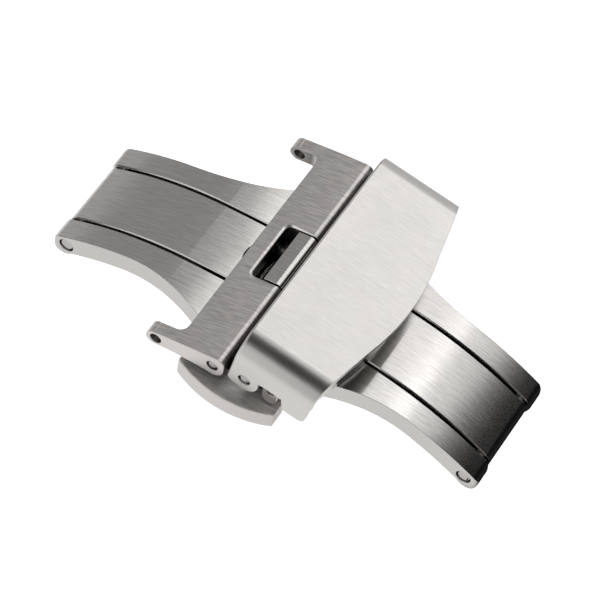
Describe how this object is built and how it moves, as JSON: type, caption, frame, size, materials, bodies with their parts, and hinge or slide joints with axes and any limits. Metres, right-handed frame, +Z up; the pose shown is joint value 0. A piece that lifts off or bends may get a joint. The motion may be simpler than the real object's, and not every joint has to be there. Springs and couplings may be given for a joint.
{
  "type": "deployant clasp",
  "caption": "Butterfly deployant clasp for a leather strap, with side push pieces, a folding lug link and a flip-up strap cover, in brushed steel",
  "frame": {"origin": "centre of the clasp, on the surface that its two end hinges stand on", "axes": "+X along the strap from the lug link towards the strap cover, +Y across the strap, +Z up and away from the wrist"},
  "size_m": [0.0388, 0.0242, 0.0111],
  "materials": {
    "brushed_steel": "satin brushed along the strap",
    "pin_steel": "turned and stamped steel"
  },
  "bodies": {
    "frame": {"base_frame": "brushed_steel", "housing_plate": "brushed_steel", "housing_rivets": "pin_steel", "guide_pins": "pin_steel", "left_end_pin": "pin_steel", "right_end_pin": "pin_steel"},
    "left_leaf": {"left_leaf": "brushed_steel", "left_catch": "pin_steel"},
    "lug_link": {"lug_link": "brushed_steel", "lug_link_pin": "pin_steel"},
    "right_leaf": {"right_leaf": "brushed_steel", "right_catch": "pin_steel", "cover_pin": "pin_steel"},
    "cradle": {"strap_cradle": "brushed_steel", "strap_bar": "pin_steel"},
    "cover": {"strap_cover": "brushed_steel"},
    "tongue": {"strap_tongue": "brushed_steel"},
    "push_near": {"push_head_near": "brushed_steel", "push_slide_near": "pin_steel"},
    "push_far": {"push_head_far": "brushed_steel", "push_slide_far": "pin_steel"}
  },
  "joints": [
    {"name": "left_leaf_hinge", "type": "hinge", "parent": "frame", "child": "left_leaf", "pos_m": [-0.01815, 0, 0.00115], "axis": [0, -1, 0], "range_deg": [0, 160]},
    {"name": "lug_link_hinge", "type": "hinge", "parent": "left_leaf", "child": "lug_link", "pos_m": [-0.00147, 0, 0.00661], "axis": [0, 1, 0], "range_deg": [0, 90]},
    {"name": "right_leaf_hinge", "type": "hinge", "parent": "frame", "child": "right_leaf", "pos_m": [0.01815, 0, 0.00115], "axis": [0, 1, 0], "range_deg": [0, 160]},
    {"name": "cradle_hinge", "type": "hinge", "parent": "right_leaf", "child": "cradle", "pos_m": [0.0013, 0, 0.00715], "axis": [0, -1, 0], "range_deg": [0, 35]},
    {"name": "cover_hinge", "type": "hinge", "parent": "cradle", "child": "cover", "pos_m": [0.0013, 0, 0.00715], "axis": [0, -1, 0], "range_deg": [0, 35]},
    {"name": "tongue_hinge", "type": "hinge", "parent": "cradle", "child": "tongue", "pos_m": [0.00334, 0, 0.00663], "axis": [0, -1, 0], "range_deg": [0, 35]},
    {"name": "push_near_slide", "type": "slide", "parent": "frame", "child": "push_near", "axis": [0, 1, 0], "range_m": [0, 0.0008], "stiffness_N_per_m": 300},
    {"name": "push_far_slide", "type": "slide", "parent": "frame", "child": "push_far", "axis": [0, -1, 0], "range_m": [0, 0.0008], "stiffness_N_per_m": 300}
  ]
}
